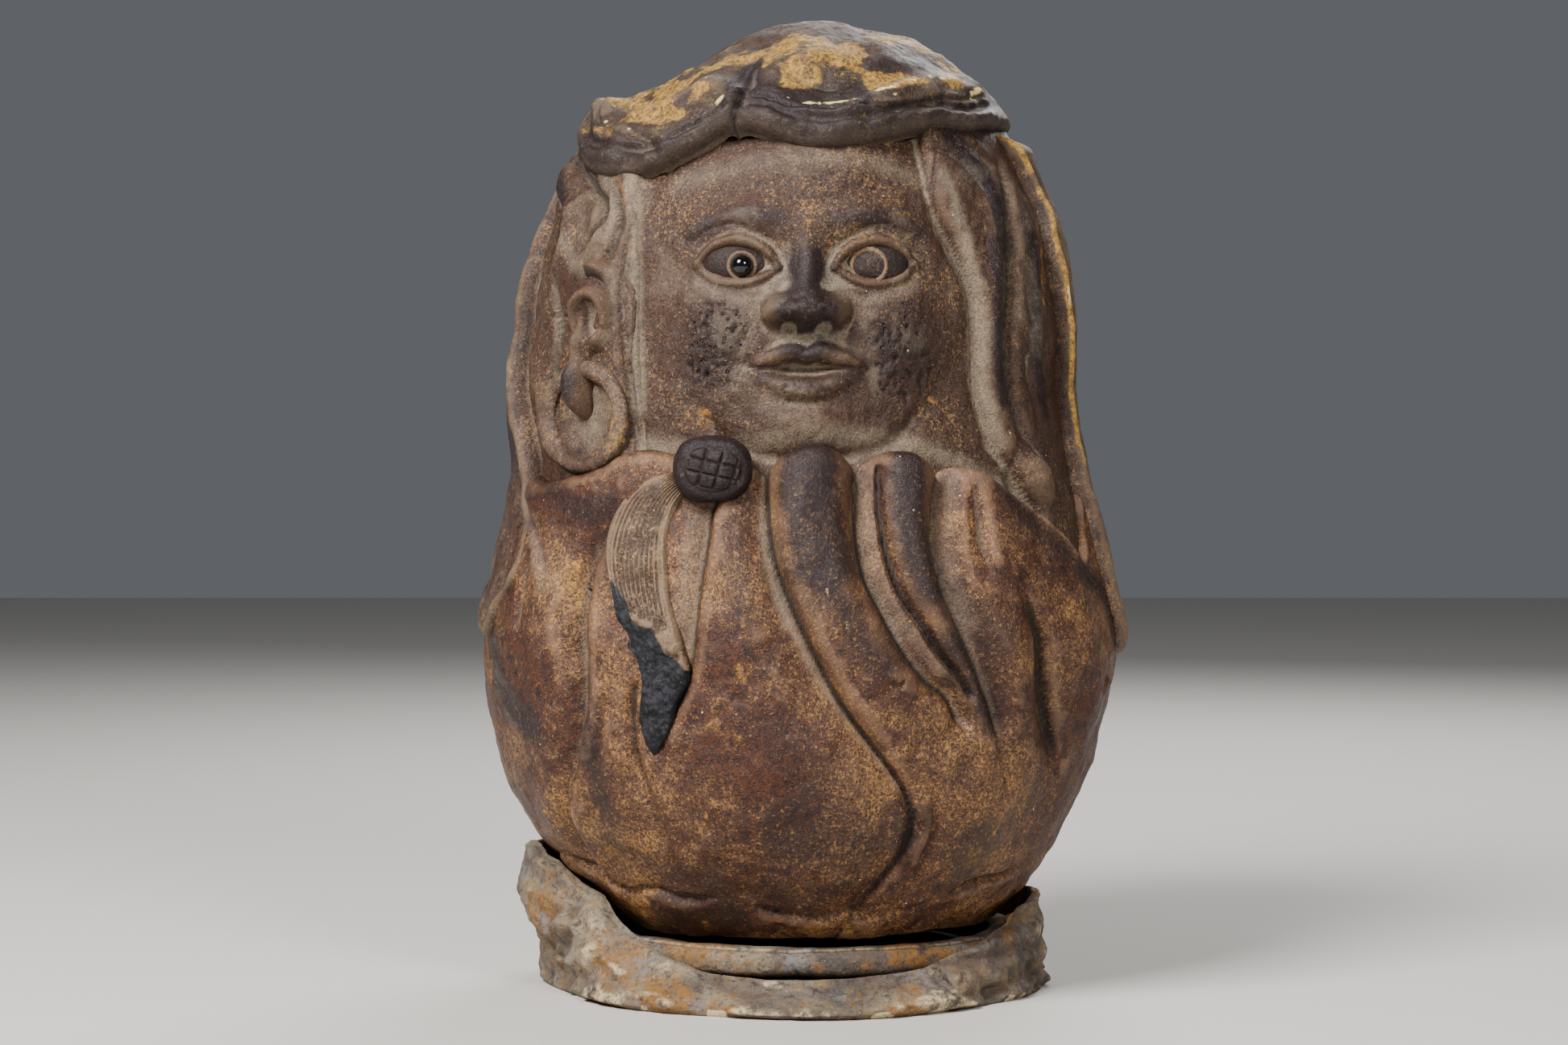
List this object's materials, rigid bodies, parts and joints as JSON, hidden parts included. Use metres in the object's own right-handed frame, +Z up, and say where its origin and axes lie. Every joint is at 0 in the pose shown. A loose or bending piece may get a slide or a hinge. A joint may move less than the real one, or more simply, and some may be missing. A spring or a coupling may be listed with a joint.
{
  "type": "ceramic daruma figure",
  "caption": "Hooded, robed egg-shaped ceramic daruma with one glass pupil, a whisk and deep robe folds, standing in a low rocky stand.",
  "frame": {"origin": "middle of the stand's underside, on the table", "axes": "+Z up, the figure looks along -Y, +X is to the viewer's right; left in a name is -X"},
  "size_m": [0.1762, 0.1506, 0.2693],
  "materials": {
    "stand_clay": "rough unglazed stoneware, mottled grey, tan and ochre",
    "robe_glaze": "speckled iron-brown and ochre glaze, satin",
    "fold_glaze": "darker iron glaze, glossy on the crests",
    "face_glaze": "purplish brown glaze with pale dust in the hollows, pitted",
    "dark_glaze": "almost black glaze, semi-gloss",
    "mantle_glaze": "thin grey-tan and brown glaze, dusty",
    "hood_glaze": "golden ochre ash glaze with dark patches and chipped edges",
    "whisk_glaze": "combed clay, dusty above and matt black at the tip",
    "bead_glass": "polished black glass"
  },
  "bodies": {
    "stand": {"stand_slab": "stand_clay", "stand_collar": "stand_clay"},
    "figure": {"body_front": "robe_glaze", "body_back": "robe_glaze", "robe_panel": "robe_glaze", "fold_outer": "robe_glaze", "robe_left": "robe_glaze", "sleeve_left": "robe_glaze", "robe_back": "robe_glaze", "hem_band": "robe_glaze", "fold_inner": "fold_glaze", "fold_middle": "fold_glaze", "face": "face_glaze", "upper_lip": "face_glaze", "lower_lip": "face_glaze", "ear_left": "face_glaze", "ear_lobe_right": "face_glaze", "nose": "dark_glaze", "brow_left": "dark_glaze", "brow_right": "dark_glaze", "eyeball_left": "dark_glaze", "eyeball_right": "dark_glaze", "whisk_knob": "dark_glaze", "drape_left": "mantle_glaze", "drape_right": "mantle_glaze", "mantle_left": "mantle_glaze", "mantle_right": "mantle_glaze", "mantle_back": "mantle_glaze", "earring_left": "mantle_glaze", "iris_ring_right": "mantle_glaze", "hood_crown": "hood_glaze", "hood_lip": "hood_glaze", "hood_corner": "hood_glaze", "whisk_hair": "whisk_glaze", "pupil_bead_left": "bead_glass"}
  },
  "joints": [
    {"name": "figure_lift", "type": "slide", "parent": "stand", "child": "figure", "axis": [0, 0, 1], "range_m": [0, 0.06]}
  ]
}
